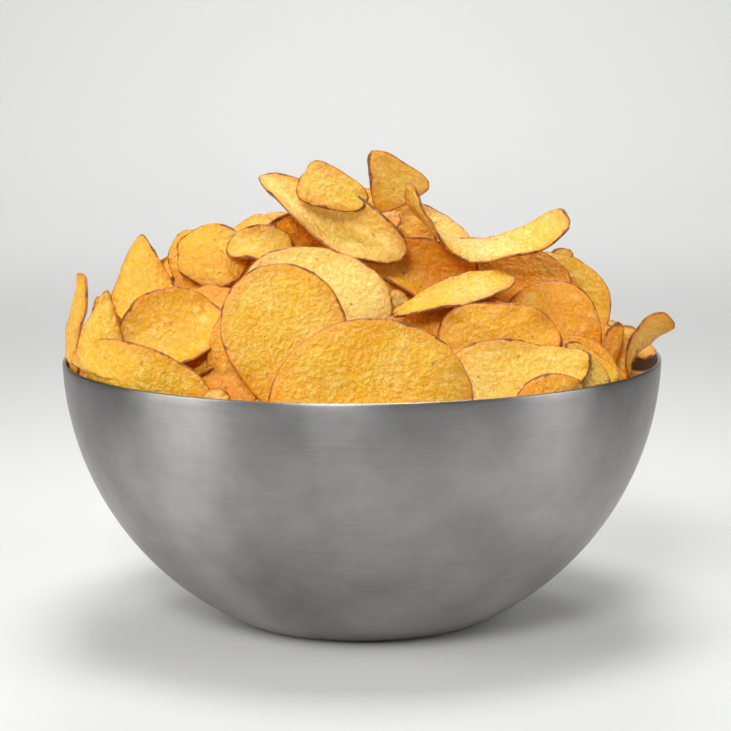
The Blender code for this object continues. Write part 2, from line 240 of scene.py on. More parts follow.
@dataclass
class Crisp:
    """One crisp: where it lies, how large it is, which way it faces, how it is bent and browned.

    Attributes:
        name: what the crisp is called.
        kind: the piece that it belongs to.
        at: its middle, in millimetres from the middle of the rim.
        size: its length and width.
        face: azimuth and tilt of the side that shows; azimuth 0 is the front and tilt 90 is up.
        roll: its turn in its own plane.
        curl: how far its ends bend up towards the side that shows, in all.
        wave: how much more the far end bends than the near end.
        fold: a sharp bend, at fold_at of its half length and fold_width wide.
        bend_dir: the direction of the bends, from its long way.
        cup: bend across the first one.
        twist: turn from one end to the other.
        taper: how much narrower the far end is.
        square: 2 for an oval, more for a rounded rectangle.
        wobble: unevenness of its outline.
        ripple: height of its gentle waves.
        tone: its colour, from -1 for dark orange to 1 for pale; partly its own colour and partly
            painted light and shade.
        blister: how blistered it is, from 0 to 1.
        seed: seed of all its random draws.
        thickness: its thickness, without its blisters.
        wall_gap: how far its middle sheet stays from the bowl's wall.
    """

    name: str
    kind: Kind
    at: tuple[float, float, float]
    size: tuple[float, float]
    face: tuple[float, float]
    roll: float = 0.0
    curl: float = 0.0
    wave: float = 0.0
    fold: float = 0.0
    fold_at: float = 0.0
    fold_width: float = 0.15
    bend_dir: float = 0.0
    cup: float = 0.0
    twist: float = 0.0
    taper: float = 0.0
    square: float = 2.0
    wobble: float = 0.06
    ripple: float = 1.0
    tone: float = 0.0
    blister: float = 0.25
    seed: int = 1
    thickness: float = 1.35
    wall_gap: float = 1.7

    def outline_factor(self, angle: np.ndarray) -> np.ndarray:
        """How far out the edge lies: a rounded square with seeded waves and small nicks.

        The rounded square is the sum of the cosine and the sine, each raised to the power square,
        to the power of minus one over square. Each wave multiplies it by one plus a small cosine.

        Args:
            angle: direction from the crisp's middle in radians.

        Returns:
            The edge's distance, as a share of an oval's.
        """
        draw = np.random.default_rng(self.seed)
        across, up = np.abs(np.cos(angle)), np.abs(np.sin(angle))
        factor = (across ** self.square + up ** self.square) ** (-1 / self.square)
        for waves in OUTLINE_WAVES:
            height = self.wobble * draw.uniform(-1, 1) / waves
            factor = factor * (1 + height * np.cos(waves * angle + draw.uniform(0, 2 * math.pi)))
        nicks = np.random.default_rng(self.seed + 500)
        for waves in NICK_WAVES:
            height = NICK_DEPTH * nicks.uniform(0.4, 1) / waves
            factor = factor * (1 + height * np.cos(waves * angle + nicks.uniform(0, 2 * math.pi)))
        return factor

    def bent_line(self, share: np.ndarray, half: float
                  ) -> tuple[np.ndarray, np.ndarray, np.ndarray]:
        """The line that the crisp's middle follows.

        The bend at each place is a constant (curl), plus a share of the place (wave), plus a narrow
        bell (fold). Its running sum is the slope, and the running sums of the slope's cosine and
        sine are the place and the height.

        Args:
            share: place along the line, -1 to 1.
            half: half the line's length.

        Returns:
            Place, height and slope at each share.
        """
        steps = np.linspace(-LINE_END, LINE_END, LINE_PLACES)
        step = steps[1] - steps[0]
        curl, wave, fold = (math.radians(value) for value in (self.curl, self.wave, self.fold))
        crease = np.exp(-((steps - self.fold_at) / self.fold_width) ** 2)
        bend = curl / 2 + wave * steps + fold / (self.fold_width * math.sqrt(math.pi)) * crease
        slope = np.cumsum(bend) * step
        slope = slope - np.interp(0, steps, slope)
        place = np.cumsum(np.cos(slope)) * step * half
        height = np.cumsum(np.sin(slope)) * step * half
        place = place - np.interp(0, steps, place)
        height = height - np.interp(0, steps, height)
        return tuple(np.interp(share, steps, values) for values in (place, height, slope))

    def ripples(self, along: np.ndarray, across: np.ndarray, rim_share: np.ndarray,
                angle: np.ndarray) -> np.ndarray:
        """Gentle waves: seeded sine waves across the slice, and frills that run round its edge.

        The waves grow with the square of the way out to the edge, the frills with its fourth power.

        Args:
            along: place along the crisp in millimetres.
            across: place across it.
            rim_share: way out to the edge, 0 to 1.
            angle: direction from the crisp's middle.

        Returns:
            Height of the waves in millimetres.
        """
        draw = np.random.default_rng(self.seed + 100)
        total = np.zeros_like(along)
        for _ in range(RIPPLE_COUNT):
            turn = draw.uniform(0, 2 * math.pi)
            length, start = draw.uniform(*RIPPLE_LENGTHS), draw.uniform(0, 2 * math.pi)
            line = along * math.cos(turn) + across * math.sin(turn)
            total = total + np.sin(line * 2 * math.pi / length + start) / RIPPLE_COUNT
        frill = np.zeros_like(along)
        for waves in FRILL_WAVES:
            wave = np.sin(waves * angle + draw.uniform(0, 2 * math.pi))
            frill = frill + wave * draw.uniform(0.5, 1) / waves
        swell = total * (0.4 + 1.1 * rim_share ** 2)
        return self.ripple * (swell + FRILL_HEIGHT * frill * rim_share ** 4)

    def sheet(self, disc: np.ndarray) -> tuple[np.ndarray, np.ndarray]:
        """The crisp's middle sheet.

        A point of the flat disc is stretched to the outline, narrowed by the taper, laid along
        the bent line, bent across it, twisted about it, rippled, turned to face its way and moved
        to its place, and what would cross the bowl's wall is drawn in to lie against it.

        Args:
            disc: points of a disc of radius 1, one row each.

        Returns:
            The points in millimetres over the base, and each one's distance from the edge.
        """
        rim_share = np.hypot(disc[:, 0], disc[:, 1])
        angle = np.arctan2(disc[:, 1], disc[:, 0])
        factor = self.outline_factor(angle)
        radius = rim_share * factor
        length, width = self.size
        along = radius * np.cos(angle) * length / 2
        across = radius * np.sin(angle) * width / 2
        across = across * (1 - self.taper * along / (length / 2))
        reach = np.hypot(np.cos(angle) * length, np.sin(angle) * width) / 2
        edge = (1 - rim_share) * factor * reach
        turn = math.radians(self.bend_dir)
        cosine, sine = math.cos(turn), math.sin(turn)
        half = math.hypot(length / 2 * cosine, width / 2 * sine)
        half_across = math.hypot(length / 2 * sine, width / 2 * cosine)
        bend_along = along * cosine + across * sine
        bend_across = across * cosine - along * sine
        share = bend_along / half
        place, height, slope = self.bent_line(share, half)
        lift = np.zeros_like(bend_across)
        if abs(self.cup) > 1e-6:
            bend_radius = 2 * half_across / math.radians(self.cup)
            lift = bend_radius * (1 - np.cos(bend_across / bend_radius))
            bend_across = bend_radius * np.sin(bend_across / bend_radius)
        twist = math.radians(self.twist) * share / 2
        side = bend_across * np.cos(twist) - lift * np.sin(twist)
        lift = bend_across * np.sin(twist) + lift * np.cos(twist)
        lift = lift + self.ripples(along, across, rim_share, angle)
        place = place - np.sin(slope) * lift
        height = height + np.cos(slope) * lift
        azimuth, tilt, roll = (math.radians(value) for value in (*self.face, self.roll))
        normal = np.array([math.sin(azimuth) * math.cos(tilt), -math.cos(azimuth) * math.cos(tilt),
                           math.sin(tilt)])
        right = np.array([math.cos(azimuth), math.sin(azimuth), 0.0])
        up = np.cross(normal, right)
        long_way = right * math.cos(roll) + up * math.sin(roll)
        wide_way = np.cross(normal, long_way)
        out_along = place * cosine - side * sine
        out_across = place * sine + side * cosine
        points = np.outer(out_along, long_way) + np.outer(out_across, wide_way)
        points = points + np.outer(height, normal)
        points = kept_in_bowl(points + np.asarray(self.at, float), self.wall_gap)
        return points + np.array([0, 0, BOWL.rim_height]), edge

    def solid(self) -> "Solid":
        """The crisp with its thickness, blisters and rounded edge.

        A square grid is squeezed to a disc: each coordinate is multiplied by the root of one minus
        half the other's square. The sheet is then moved out along its normal on both sides.

        Returns:
            The crisp as arrays.
        """
        cells = GRID_CELLS[self.kind]
        if max(self.size) < SMALL_SIZE:
            cells = cells * 2 // 3
        line = np.linspace(-1, 1, cells + 1)
        flat = np.stack(np.meshgrid(line, line, indexing="ij"), axis=-1).reshape(-1, 2)
        disc = flat * np.sqrt(1 - flat[:, ::-1] ** 2 / 2)
        points, edge = self.sheet(disc)
        grid = points.reshape(cells + 1, cells + 1, 3)
        normal = np.cross(np.gradient(grid, axis=0), np.gradient(grid, axis=1)).reshape(-1, 3)
        normal = normal / np.maximum(np.linalg.norm(normal, axis=1, keepdims=True), 1e-9)
        length, width = self.size
        place = disc * np.array([length, width]) / 2
        inside = smoothstep(*BLISTER_INSET, edge)
        front_blisters = self.blisters(place, self.seed + 900) * inside
        back_blisters = self.blisters(place, self.seed + 950) * inside
        fullness = EDGE_THICKNESS + (1 - EDGE_THICKNESS) * smoothstep(0.0, EDGE_WIDTH, edge)
        half = self.thickness / 2 * fullness
        front = points + normal * (half + front_blisters)[:, None]
        back = points - normal * (half + back_blisters)[:, None]
        loop = border(cells)
        outward = grid_outward(grid, loop)
        middle = points[loop] + outward * EDGE_BULGE
        count = len(points)
        numbers = np.arange(count).reshape(cells + 1, cells + 1)
        face = np.stack([numbers[:-1, :-1], numbers[1:, :-1], numbers[1:, 1:], numbers[:-1, 1:]],
                        axis=-1).reshape(-1, 4)
        following = np.roll(loop, -1)
        ring = 2 * count + np.arange(len(loop))
        next_ring = np.roll(ring, -1)
        front_rim = np.stack([loop, ring, next_ring, following], axis=-1)
        back_rim = np.stack([ring, loop + count, following + count, next_ring], axis=-1)
        quads = np.concatenate([face, face[:, ::-1] + count, front_rim, back_rim])
        raised = np.concatenate([front_blisters, back_blisters, np.zeros(len(loop))])
        distance = np.concatenate([edge, edge, np.zeros(len(loop))])
        draw = np.random.default_rng(self.seed + 300)
        tone = np.full(len(distance), self.tone + draw.uniform(-0.08, 0.08))
        return Solid(np.concatenate([front, back, middle]), quads,
                     {"edge_mm": distance, "tone": tone, "raised_mm": raised})

    def blisters(self, place: np.ndarray, seed: int) -> np.ndarray:
        """Height of the blisters: domes of each size, scattered on a jittered grid and added up.

        Args:
            place: flat place on the crisp in millimetres.
            seed: seed of the scatter.

        Returns:
            Height in millimetres.
        """
        total = np.zeros(len(place))
        for number, size in enumerate(BLISTER_SIZES):
            share = size.share[0] + size.share[1] * self.blister
            domes = scattered_domes(place, size.spacing, size.reach, share, seed + number)
            total = total + domes * (size.height[0] + size.height[1] * self.blister)
        return total


@dataclass
class Solid:
    """Points, quads and per-point values of one closed solid."""

    points: np.ndarray
    quads: np.ndarray
    values: dict[str, np.ndarray] = field(default_factory=dict)


def scattered_domes(place: np.ndarray, spacing: float, reach: float, share: float,
                    seed: int) -> np.ndarray:
    """Round domes, one at a seeded place in each square of a grid, some of them left out.

    A dome's height is the square of one minus the squared distance over its radius, and where domes
    overlap the higher one counts.

    Args:
        place: points in millimetres.
        spacing: side of a square.
        reach: radius of the largest dome as a share of the spacing.
        share: share of the squares that hold a dome.
        seed: seed of the scatter.

    Returns:
        Heights between 0 and 1.
    """
    draw = np.random.default_rng(seed)
    side = 64
    jitter = draw.random((side, side, 2))
    strength = draw.random((side, side))
    scaled = place / spacing + side / 2
    square = np.floor(scaled).astype(int)
    height = np.zeros(len(place))
    for step_x in (-1, 0, 1):
        for step_y in (-1, 0, 1):
            cell = square + np.array([step_x, step_y])
            at = cell % side
            middle = cell + 0.2 + 0.6 * jitter[at[:, 0], at[:, 1]]
            chosen = strength[at[:, 0], at[:, 1]]
            radius = reach * (0.6 + 0.4 * chosen / share)
            away = np.linalg.norm(scaled - middle, axis=1) / radius
            tallest = np.where(chosen < share, 0.5 + 0.5 * chosen / share, 0)
            height = np.maximum(height, np.clip(1 - away ** 2, 0, 1) ** 2 * tallest)
    return height


def border(cells: int) -> np.ndarray:
    """Numbers of a square grid's border points, in order round it."""
    numbers = np.arange((cells + 1) ** 2).reshape(cells + 1, cells + 1)
    sides = (numbers[:-1, 0], numbers[-1, :-1], numbers[:0:-1, -1], numbers[0, :0:-1])
    return np.concatenate(sides)


def grid_outward(grid: np.ndarray, loop: np.ndarray) -> np.ndarray:
    """Unit vectors that point out of a grid's border, away from the point next to it inside.

    Args:
        grid: the points of the grid.
        loop: numbers of its border points.

    Returns:
        A vector for each border point.
    """
    cells = grid.shape[0] - 1
    flat = grid.reshape(-1, 3)
    row, column = loop // (cells + 1), loop % (cells + 1)
    inner = np.clip(row, 1, cells - 1) * (cells + 1) + np.clip(column, 1, cells - 1)
    away = flat[loop] - flat[inner]
    return away / np.maximum(np.linalg.norm(away, axis=1, keepdims=True), 1e-9)


# Over the rim a crisp may lean out by this much for each millimetre above the height given.
RIM_FLARE = 1.5
RIM_FLARE_FROM = 2.0


def kept_in_bowl(points: np.ndarray, gap: float) -> np.ndarray:
    """Draw in what would cross the bowl's wall, so that it lies against the wall.

    Args:
        points: points in millimetres from the middle of the rim.
        gap: distance that is kept from the wall.

    Returns:
        The points, moved towards the bowl's axis where they lay too far out.
    """
    limit = BOWL.radius - BOWL.wall - gap
    height = points[:, 2]
    below_middle = np.minimum(height, 0) - BOWL.rim_below_middle
    allowed = np.sqrt(np.maximum(limit ** 2 - below_middle ** 2, 1.0))
    allowed = allowed + RIM_FLARE * np.maximum(height - RIM_FLARE_FROM, 0)
    radius = np.hypot(points[:, 0], points[:, 1])
    factor = np.where(radius > allowed, allowed / np.maximum(radius, 1e-6), 1.0)
    return points * np.stack([factor, factor, np.ones_like(factor)], axis=1)


def joined(solids: list[Solid]) -> Solid:
    """Several solids as one set of arrays.

    Args:
        solids: the solids.

    Returns:
        All their points, quads and values.
    """
    starts = np.cumsum([0] + [len(solid.points) for solid in solids[:-1]])
    points = np.concatenate([solid.points for solid in solids])
    quads = np.concatenate([solid.quads + start for solid, start in zip(solids, starts)])
    values = {key: np.concatenate([solid.values[key] for solid in solids])
              for key in solids[0].values}
    return Solid(points, quads, values)


@dataclass(frozen=True)
class SpunSteel:
    """Stainless steel, spun to shape and brushed round and round, with fine scratches of use.

    Real brush lines lie about 0.1 mm apart. They are drawn coarser here, so that they show.
    """

    light: str = "#ABA9A7"
    dull: str = "#7E7C7A"
    roughness: float = 0.40
    brushing: float = 0.8
    brush_length_mm: float = 50.0
    brush_spacing_mm: float = 0.35
    cloud_mm: float = 36.0
    scratch_length_mm: float = 34.0
    scratches_per_metre: float = 260.0
    scratch_slant: float = 0.5

    def material(self) -> bpy.types.Material:
        """The finish as a material; its brush lines follow the piece's own UV map, in metres.

        Brushed steel reflects like metal, and its grooves run round the bowl, so a reflection is
        drawn out up and down across them.

        Returns:
            The material.
        """
        material = bpy.data.materials.new("spun_stainless_steel")
        material.use_nodes = True
        tree = material.node_tree
        shader = tree.nodes["Principled BSDF"]
        shader.inputs["Metallic"].default_value = 1.0
        shader.inputs["Anisotropic"].default_value = self.brushing
        shader.inputs["Anisotropic Rotation"].default_value = 0.25
        uv = add_node(tree, "ShaderNodeUVMap", uv_map="round_and_down")
        tangent = add_node(tree, "ShaderNodeTangent", direction_type="UV_MAP",
                           uv_map="round_and_down")
        tree.links.new(tangent.outputs["Tangent"], shader.inputs["Tangent"])
        # Brush lines: far longer round the bowl than down it.
        brush_scale = (1 / (self.brush_length_mm * MM), 0.5 / (self.brush_spacing_mm * MM), 1.0)
        lines = add_node(tree, "ShaderNodeMapping", {"Vector": uv.outputs["UV"]},
                         {"Scale": brush_scale})
        brush = add_node(tree, "ShaderNodeTexNoise", {"Vector": lines.outputs["Vector"]},
                         {"Scale": 1.0, "Detail": 4.0, "Roughness": 0.65})
        # Broad cloudy patches of handling and washing.
        place = add_node(tree, "ShaderNodeTexCoord")
        clouds = add_node(tree, "ShaderNodeTexNoise", {"Vector": place.outputs["Object"]},
                          {"Scale": 0.5 / (self.cloud_mm * MM), "Detail": 5.0, "Roughness": 0.62})
        streaky = add_node(tree, "ShaderNodeMath",
                           {0: brush.outputs["Fac"], 2: clouds.outputs["Fac"]}, {1: 0.2},
                           operation="MULTIPLY_ADD")
        share = add_node(tree, "ShaderNodeMapRange", {"Value": streaky.outputs["Value"]},
                         {"From Min": 0.42, "From Max": 0.78, "To Min": 0.0, "To Max": 1.0})
        colour = add_node(tree, "ShaderNodeMix", {0: share.outputs["Result"]},
                          {6: self.dull, 7: self.light}, data_type="RGBA")
        tree.links.new(colour.outputs[2], shader.inputs["Base Color"])
        rough = add_node(tree, "ShaderNodeMapRange", {"Value": brush.outputs["Fac"]},
                         {"From Min": 0.3, "From Max": 0.7, "To Min": self.roughness - 0.04,
                          "To Max": self.roughness + 0.04})
        tree.links.new(rough.outputs["Result"], shader.inputs["Roughness"])
        # Scratches: thin bent lines where a stretched noise passes its middle value.
        scratch_scale = (1 / (self.scratch_length_mm * MM), self.scratches_per_metre, 1.0)
        slant = add_node(tree, "ShaderNodeMapping", {"Vector": uv.outputs["UV"]},
                         {"Rotation": (0.0, 0.0, self.scratch_slant), "Scale": scratch_scale})
        scratch = add_node(tree, "ShaderNodeTexNoise", {"Vector": slant.outputs["Vector"]},
                           {"Scale": 1.0, "Detail": 1.0, "Roughness": 0.4})
        middle = add_node(tree, "ShaderNodeMath", {0: scratch.outputs["Fac"]}, {1: 0.5},
                          operation="SUBTRACT")
        thin = add_node(tree, "ShaderNodeMath", {0: middle.outputs["Value"]}, operation="ABSOLUTE")
        groove = add_node(tree, "ShaderNodeMapRange", {"Value": thin.outputs["Value"]},
                          {"From Min": 0.0, "From Max": 0.008, "To Min": 0.0, "To Max": 0.5})
        both = add_node(tree, "ShaderNodeMath",
                        {0: groove.outputs["Result"], 1: brush.outputs["Fac"]}, operation="ADD")
        bump = add_node(tree, "ShaderNodeBump", {"Height": both.outputs["Value"]},
                        {"Strength": 0.09, "Distance": 0.0003})
        tree.links.new(bump.outputs["Normal"], shader.inputs["Normal"])
        return material


@dataclass(frozen=True)
class Coat:
    """A colour that is laid over those below it, by how far a value has gone from start to end.

    Attributes:
        colour: the colour.
        value: name of the value that it follows.
        start: the value at which it begins.
        end: the value at which it is strongest.
        most: its share there.
        times: name of a value that its share is multiplied by, if any.
    """

    colour: str
    value: str
    start: float
    end: float
    most: float
    times: str = ""


@dataclass(frozen=True)
class FriedPotato:
    """Thin potato slices fried in oil: a grainy translucent yellow, browned along the peel."""

    orange: str = "#F78E00"
    golden: str = "#EAB512"
    pale: str = "#F0CE6E"
    grain_mm: float = 0.6
    speck_mm: float = 1.3
    bubble_mm: float = 2.4
    patch_mm: float = 8.0
    peel_patch_mm: float = 3.0
    roughness: float = 0.3
    grain_relief: float = 1.8
    bubble_relief: float = 0.6
    coats: tuple[Coat, ...] = (
        # Painted shade: the pits between the bubbles are darker. Light grains of starch.
        Coat("#E09A1A", "bubbles", 0.40, 0.0, 0.3),
        Coat("#F8DE8C", "grain", 0.50, 0.70, 0.5, times="starchy"),
        # Browner towards the edge, painted highlight on the blisters, small toasted specks.
        Coat("#D4821C", "edge_mm", 5.0, 0.3, 0.9, times="patches"),
        Coat("#F8DE8C", "raised_mm", 0.10, 0.5, 0.3),
        Coat("#A9601A", "specks", 0.70, 0.78, 0.6),
        # The peel: a thin brown line along the very edge, dark and wider here and there.
        Coat("#B8762A", "edge_mm", 0.55, 0.15, 0.75),
        Coat("#7C4214", "past_peel_mm", 0.15, -0.25, 0.9),
    )

    def material(self) -> bpy.types.Material:
        """The finish as a material that reads each crisp's tone, edge distance and blisters.

        A fried slice is thin and lets light through, its oil gives it a broken gloss, and its
        starch cells and small bubbles make it grainy. The coats go over one another in order.

        Returns:
            The material.
        """
        material = bpy.data.materials.new("fried_potato_slice")
        material.use_nodes = True
        tree = material.node_tree
        shader = tree.nodes["Principled BSDF"]
        shader.inputs["IOR"].default_value = 1.46
        shader.inputs["Specular IOR Level"].default_value = 0.45
        shader.inputs["Subsurface Weight"].default_value = 0.4
        shader.inputs["Subsurface Radius"].default_value = (1.0, 0.45, 0.08)
        shader.inputs["Subsurface Scale"].default_value = 0.0025
        values = self.values(tree)
        # Tone from dark orange over golden to pale: own colour, partly painted light and shade.
        ramp = add_node(tree, "ShaderNodeValToRGB", {"Fac": values["level"]})
        ramp.color_ramp.elements[0].color = linear(self.orange)
        ramp.color_ramp.elements[1].color = linear(self.pale)
        ramp.color_ramp.elements.new(0.5).color = linear(self.golden)
        colour = ramp.outputs["Color"]
        for coat in self.coats:
            rise = add_node(tree, "ShaderNodeMapRange", {"Value": values[coat.value]},
                            {"From Min": coat.start, "From Max": coat.end, "To Max": coat.most})
            share = rise.outputs["Result"]
            if coat.times:
                product = add_node(tree, "ShaderNodeMath", {0: share, 1: values[coat.times]},
                                   operation="MULTIPLY")
                share = product.outputs["Value"]
            mixed = add_node(tree, "ShaderNodeMix", {0: share, 6: colour}, {7: coat.colour},
                             data_type="RGBA")
            colour = mixed.outputs[2]
        tree.links.new(colour, shader.inputs["Base Color"])
        tree.links.new(values["roughness"], shader.inputs["Roughness"])
        swells = add_node(tree, "ShaderNodeMath", {0: values["bubbles"]}, {1: self.bubble_relief},
                          operation="MULTIPLY")
        relief = add_node(tree, "ShaderNodeMath", {0: values["grain"], 2: swells.outputs["Value"]},
                          {1: self.grain_relief}, operation="MULTIPLY_ADD")
        bump = add_node(tree, "ShaderNodeBump", {"Height": relief.outputs["Value"]},
                        {"Strength": 0.9, "Distance": 0.00045})
        tree.links.new(bump.outputs["Normal"], shader.inputs["Normal"])
        return material

    def values(self, tree: bpy.types.NodeTree) -> dict[str, bpy.types.NodeSocket]:
        """The values that the colours and the gloss follow.

        Three are the crisp's own attributes. Four are noises, whose lumps are about half as wide as
        one over their scale. The others are straight slopes of these, held level beyond their ends.

        Args:
            tree: the material's node tree.

        Returns:
            The output socket of each value, by name.
        """
        place = add_node(tree, "ShaderNodeTexCoord").outputs["Object"]
        values = {name: add_node(tree, "ShaderNodeAttribute", attribute_name=name).outputs["Fac"]
                  for name in ("tone", "edge_mm", "raised_mm")}
        for name, size_mm, detail in (
                ("patches", self.patch_mm, 3.0),
                ("grain", self.grain_mm, 2.0),
                ("specks", self.speck_mm, 1.0),
                ("peel_patches", self.peel_patch_mm, 2.0)):
            noise = add_node(tree, "ShaderNodeTexNoise", {"Vector": place},
                             {"Scale": 1 / (2 * size_mm * MM), "Detail": detail, "Roughness": 0.55})
            values[name] = noise.outputs["Fac"]
        cells = add_node(tree, "ShaderNodeTexVoronoi", {"Vector": place},
                         {"Scale": 1 / (self.bubble_mm * MM), "Smoothness": 0.7},
                         feature="SMOOTH_F1")
        values["cells"] = cells.outputs["Distance"]
        patchy = add_node(tree, "ShaderNodeMath", {0: values["patches"], 2: values["tone"]},
                          {1: 1.5}, operation="MULTIPLY_ADD")
        values["patchy"] = patchy.outputs["Value"]
        for name, source, start, end, low, high in (
                ("bubbles", "cells", 0.62, 0.12, 0.0, 1.0),
                ("level", "patchy", -0.25, 1.75, 0.0, 1.0),
                ("starchy", "level", 0.0, 1.0, 0.3, 1.5),
                ("peel_width_mm", "peel_patches", 0.48, 0.68, 0.0, 0.9),
                ("roughness", "grain", 0.35, 0.65, self.roughness - 0.08, self.roughness + 0.2)):
            slope = add_node(tree, "ShaderNodeMapRange", {"Value": values[source]},
                             {"From Min": start, "From Max": end, "To Min": low, "To Max": high})
            values[name] = slope.outputs["Result"]
        past = add_node(tree, "ShaderNodeMath", {0: values["edge_mm"], 1: values["peel_width_mm"]},
                        operation="SUBTRACT")
        values["past_peel_mm"] = past.outputs["Value"]
        return values


@dataclass(frozen=True)
class PaintedFloor:
    """A smooth floor painted white and matt, as in a product studio."""

    colour: str = "#DCDCDA"

    def material(self) -> bpy.types.Material:
        """The finish as a material.

        Matt paint scatters light evenly, so the floor shows soft shadows and no reflection.

        Returns:
            The material.
        """
        material = bpy.data.materials.new("matt_white_paint")
        material.use_nodes = True
        shader = material.node_tree.nodes["Principled BSDF"]
        shader.inputs["Base Color"].default_value = linear(self.colour)
        shader.inputs["Roughness"].default_value = 0.6
        return material


@dataclass
class Bowl:
    """The steel bowl: one wall turned from the inside over a rounded lip to the flat base."""

    measures: BowlMeasures = field(default_factory=BowlMeasures)
    round_steps: int = 240
    arc_steps: int = 48
    base_fillet: float = 3.0
    lip_radius: float = 0.75
    lip_steps: int = 12
    lip_drop: float = 0.1
    base_steps: int = 8

    def section(self) -> np.ndarray:
        """The turned section from the axis inside to the axis outside.

        It is an arc of the inner sphere, a half circle over the lip, an arc of the outer sphere
        and a small quarter turn into the flat base.

        Returns:
            Radius and height of each point in millimetres.
        """
        size = self.measures
        middle = size.sphere_height
        inside = size.radius - size.wall
        start = math.asin(size.rim_below_middle / inside)
        low = math.asin((middle - size.wall) / inside)
        bend = np.linspace(low, start, self.arc_steps)
        inner = np.stack([inside * np.cos(bend), middle - inside * np.sin(bend)], axis=1)
        turn = np.linspace(math.pi, 0, self.lip_steps + 2)[1:-1]
        lip_middle = (inner[-1, 0] + size.wall / 2, inner[-1, 1] - self.lip_drop)
        lip = np.stack([lip_middle[0] + size.wall / 2 * np.cos(turn),
                        lip_middle[1] + self.lip_radius * np.sin(turn)], axis=1)
        start = math.asin(size.rim_below_middle / size.radius)
        low = math.asin(middle / size.radius) - self.base_fillet / size.radius
        bend = np.linspace(start, low, self.arc_steps)
        outer = np.stack([size.radius * np.cos(bend), middle - size.radius * np.sin(bend)], axis=1)
        share = np.linspace(0, 1, self.base_steps)[1:, None]
        corner = np.array([size.base_radius, 0.0])
        flat = np.array([size.base_radius - self.base_fillet, 0.0])
        fillet = outer[-1] * (1 - share) ** 2 + 2 * corner * share * (1 - share) + flat * share ** 2
        floor_inside = np.stack([np.linspace(0, inner[0, 0], self.base_steps)[:-1],
                                 np.full(self.base_steps - 1, size.wall)], axis=1)
        floor_outside = np.stack([np.linspace(flat[0], 0, self.base_steps)[1:],
                                  np.zeros(self.base_steps - 1)], axis=1)
        return np.concatenate([floor_inside, inner, lip, outer, fillet, floor_outside])

    def build(self, finish: SpunSteel) -> bpy.types.Object:
        """Turn the section round the axis and dress it.

        A point is the section's radius times the cosine and sine of the turn, at its height.
        The UV map holds the way round and the way down the section, both in metres.

        Args:
            finish: the steel.

        Returns:
            The bowl.
        """
        section = self.section()
        down = np.concatenate([[0], np.cumsum(np.linalg.norm(np.diff(section, axis=0), axis=1))])
        rows, columns = len(section) - 2, self.round_steps
        turn = np.arange(columns) / columns * 2 * math.pi
        ring = section[1:-1]
        points = np.stack([ring[:, :1] * np.cos(turn), ring[:, :1] * np.sin(turn),
                           np.repeat(ring[:, 1:], columns, axis=1)], axis=-1).reshape(-1, 3)
        poles = np.array([[0, 0, section[0, 1]], [0, 0, section[-1, 1]]])
        points = np.concatenate([points, poles])
        obj = mesh_object("steel_bowl", points, turned_quads(rows, columns))
        self.unwrap(obj, down)
        obj.data.materials.append(finish.material())
        return obj

    def unwrap(self, obj: bpy.types.Object, down: np.ndarray) -> None:
        """Write the UV map: way round and way down in metres, with no seam across a face.

        Args:
            obj: the turned bowl.
            down: way down the section at each of its points, in millimetres.
        """
        mesh = obj.data
        corners = np.zeros(len(mesh.loops), np.int32)
        mesh.loops.foreach_get("vertex_index", corners)
        totals = np.zeros(len(mesh.polygons), np.int32)
        mesh.polygons.foreach_get("loop_total", totals)
        columns = self.round_steps
        rows = len(down) - 2
        row = corners // columns
        pole = corners >= rows * columns
        column = np.where(pole, 0, corners % columns)
        height = down[1:-1][np.clip(row, 0, rows - 1)]
        height = np.where(corners == rows * columns, down[0], height)
        height = np.where(corners == rows * columns + 1, down[-1], height)
        owner = np.repeat(np.arange(len(totals)), totals)
        highest = np.zeros(len(totals))
        np.maximum.at(highest, owner, column)
        wraps = (highest[owner] == columns - 1) & (column == 0)
        way_round = np.where(wraps, columns, column) / columns * 2 * math.pi * self.measures.radius
        layer = mesh.uv_layers.new(name="round_and_down")
        places = (np.stack([way_round, height], axis=1) * MM).astype(np.float32)
        layer.data.foreach_set("uv", places.ravel())


@dataclass
class Ring:
    """A ring of crisps that lean outward on the core, round the back of the heap."""

    radius: float
    lift: float
    tilt: float
    length: float
    width: float
    count: int
    first: float
    last: float
    seed: int


